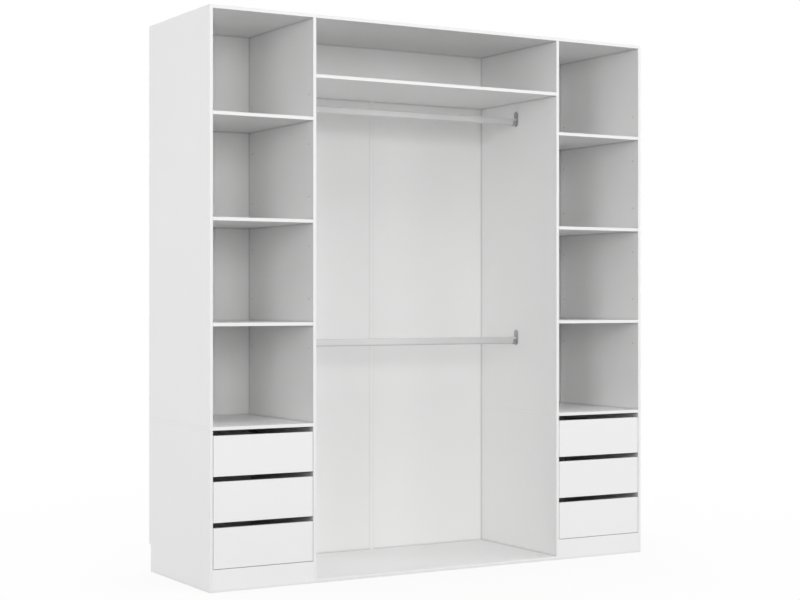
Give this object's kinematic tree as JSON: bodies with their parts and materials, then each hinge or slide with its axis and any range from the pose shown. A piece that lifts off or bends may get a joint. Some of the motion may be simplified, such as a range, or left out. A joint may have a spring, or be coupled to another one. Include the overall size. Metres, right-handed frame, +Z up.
{
  "type": "open-front wardrobe",
  "caption": "Open-front wardrobe: a wide hanging bay with hat shelf and oval rails between shelf towers, whose inset drawers slide on ball-bearing runners over plain plinths.",
  "frame": {"origin": "on the floor, under the middle of the wardrobe's width and depth", "axes": "+X to the right of someone facing the open front, +Y from the front towards the wall, +Z up"},
  "size_m": [2.035, 0.6, 2.2],
  "materials": {
    "white_board": "white coated chipboard, fine pearl texture, satin",
    "drawer_board": "pale grey coated chipboard, satin",
    "back_board": "white painted hardboard, satin",
    "joint_strip": "white moulded plastic",
    "rail_steel": "satin metal tube",
    "socket_metal": "dark polished zinc casting",
    "cam_metal": "die-cast zinc and zinc-plated steel",
    "dowel_wood": "fluted beech",
    "runner_steel": "zinc-plated sheet steel",
    "cage_steel": "plain sheet steel with bright steel balls",
    "screw_steel": "zinc-plated steel"
  },
  "bodies": {
    "root": {"left_side_lower": "white_board", "left_side_upper": "white_board", "left_partition_lower": "white_board", "left_partition_upper": "white_board", "right_partition_lower": "white_board", "right_partition_upper": "white_board", "right_side_lower": "white_board", "right_side_upper": "white_board", "left_top": "white_board", "centre_top": "white_board", "right_top": "white_board", "left_chest_top": "white_board", "right_chest_top": "white_board", "tower_bottoms": "white_board", "plinths": "white_board", "left_shelf_1": "white_board", "left_shelf_2": "white_board", "left_shelf_3": "white_board", "right_shelf_1": "white_board", "right_shelf_2": "white_board", "right_shelf_3": "white_board", "hat_shelf": "white_board", "centre_floor": "white_board", "left_back": "back_board", "right_back": "back_board", "centre_back_top": "back_board", "centre_back_left": "back_board", "centre_back_right": "back_board", "back_joint_strip": "joint_strip", "upper_rail": "rail_steel", "lower_rail": "rail_steel", "rail_sockets": "socket_metal", "cam_fittings": "cam_metal", "dowels": "dowel_wood", "runner_tracks": "runner_steel", "screws": "screw_steel"},
    "left_drawer_1": {"left_drawer_1_front": "white_board", "left_drawer_1_box": "drawer_board", "left_drawer_1_hardware": "runner_steel"},
    "left_drawer_1_ball_cages": {"left_drawer_1_cages": "cage_steel"},
    "left_drawer_2": {"left_drawer_2_front": "white_board", "left_drawer_2_box": "drawer_board", "left_drawer_2_hardware": "runner_steel"},
    "left_drawer_2_ball_cages": {"left_drawer_2_cages": "cage_steel"},
    "left_drawer_3": {"left_drawer_3_front": "white_board", "left_drawer_3_box": "drawer_board", "left_drawer_3_hardware": "runner_steel"},
    "left_drawer_3_ball_cages": {"left_drawer_3_cages": "cage_steel"},
    "right_drawer_1": {"right_drawer_1_front": "white_board", "right_drawer_1_box": "drawer_board", "right_drawer_1_hardware": "runner_steel"},
    "right_drawer_1_ball_cages": {"right_drawer_1_cages": "cage_steel"},
    "right_drawer_2": {"right_drawer_2_front": "white_board", "right_drawer_2_box": "drawer_board", "right_drawer_2_hardware": "runner_steel"},
    "right_drawer_2_ball_cages": {"right_drawer_2_cages": "cage_steel"},
    "right_drawer_3": {"right_drawer_3_front": "white_board", "right_drawer_3_box": "drawer_board", "right_drawer_3_hardware": "runner_steel"},
    "right_drawer_3_ball_cages": {"right_drawer_3_cages": "cage_steel"}
  },
  "joints": [
    {"name": "left_drawer_1_slide", "type": "slide", "parent": "root", "child": "left_drawer_1", "axis": [0, -1, 0], "range_m": [0, 0.35]},
    {"name": "left_drawer_1_cage_travel", "type": "slide", "parent": "root", "child": "left_drawer_1_ball_cages", "axis": [0, -1, 0], "range_m": [0, 0.175]},
    {"name": "left_drawer_2_slide", "type": "slide", "parent": "root", "child": "left_drawer_2", "axis": [0, -1, 0], "range_m": [0, 0.35]},
    {"name": "left_drawer_2_cage_travel", "type": "slide", "parent": "root", "child": "left_drawer_2_ball_cages", "axis": [0, -1, 0], "range_m": [0, 0.175]},
    {"name": "left_drawer_3_slide", "type": "slide", "parent": "root", "child": "left_drawer_3", "axis": [0, -1, 0], "range_m": [0, 0.35]},
    {"name": "left_drawer_3_cage_travel", "type": "slide", "parent": "root", "child": "left_drawer_3_ball_cages", "axis": [0, -1, 0], "range_m": [0, 0.175]},
    {"name": "right_drawer_1_slide", "type": "slide", "parent": "root", "child": "right_drawer_1", "axis": [0, -1, 0], "range_m": [0, 0.35]},
    {"name": "right_drawer_1_cage_travel", "type": "slide", "parent": "root", "child": "right_drawer_1_ball_cages", "axis": [0, -1, 0], "range_m": [0, 0.175]},
    {"name": "right_drawer_2_slide", "type": "slide", "parent": "root", "child": "right_drawer_2", "axis": [0, -1, 0], "range_m": [0, 0.35]},
    {"name": "right_drawer_2_cage_travel", "type": "slide", "parent": "root", "child": "right_drawer_2_ball_cages", "axis": [0, -1, 0], "range_m": [0, 0.175]},
    {"name": "right_drawer_3_slide", "type": "slide", "parent": "root", "child": "right_drawer_3", "axis": [0, -1, 0], "range_m": [0, 0.35]},
    {"name": "right_drawer_3_cage_travel", "type": "slide", "parent": "root", "child": "right_drawer_3_ball_cages", "axis": [0, -1, 0], "range_m": [0, 0.175]}
  ],
  "couplings": [
    {"joint": "left_drawer_1_cage_travel", "follows": "left_drawer_1_slide", "ratio": 0.5},
    {"joint": "left_drawer_2_cage_travel", "follows": "left_drawer_2_slide", "ratio": 0.5},
    {"joint": "left_drawer_3_cage_travel", "follows": "left_drawer_3_slide", "ratio": 0.5},
    {"joint": "right_drawer_1_cage_travel", "follows": "right_drawer_1_slide", "ratio": 0.5},
    {"joint": "right_drawer_2_cage_travel", "follows": "right_drawer_2_slide", "ratio": 0.5},
    {"joint": "right_drawer_3_cage_travel", "follows": "right_drawer_3_slide", "ratio": 0.5}
  ]
}
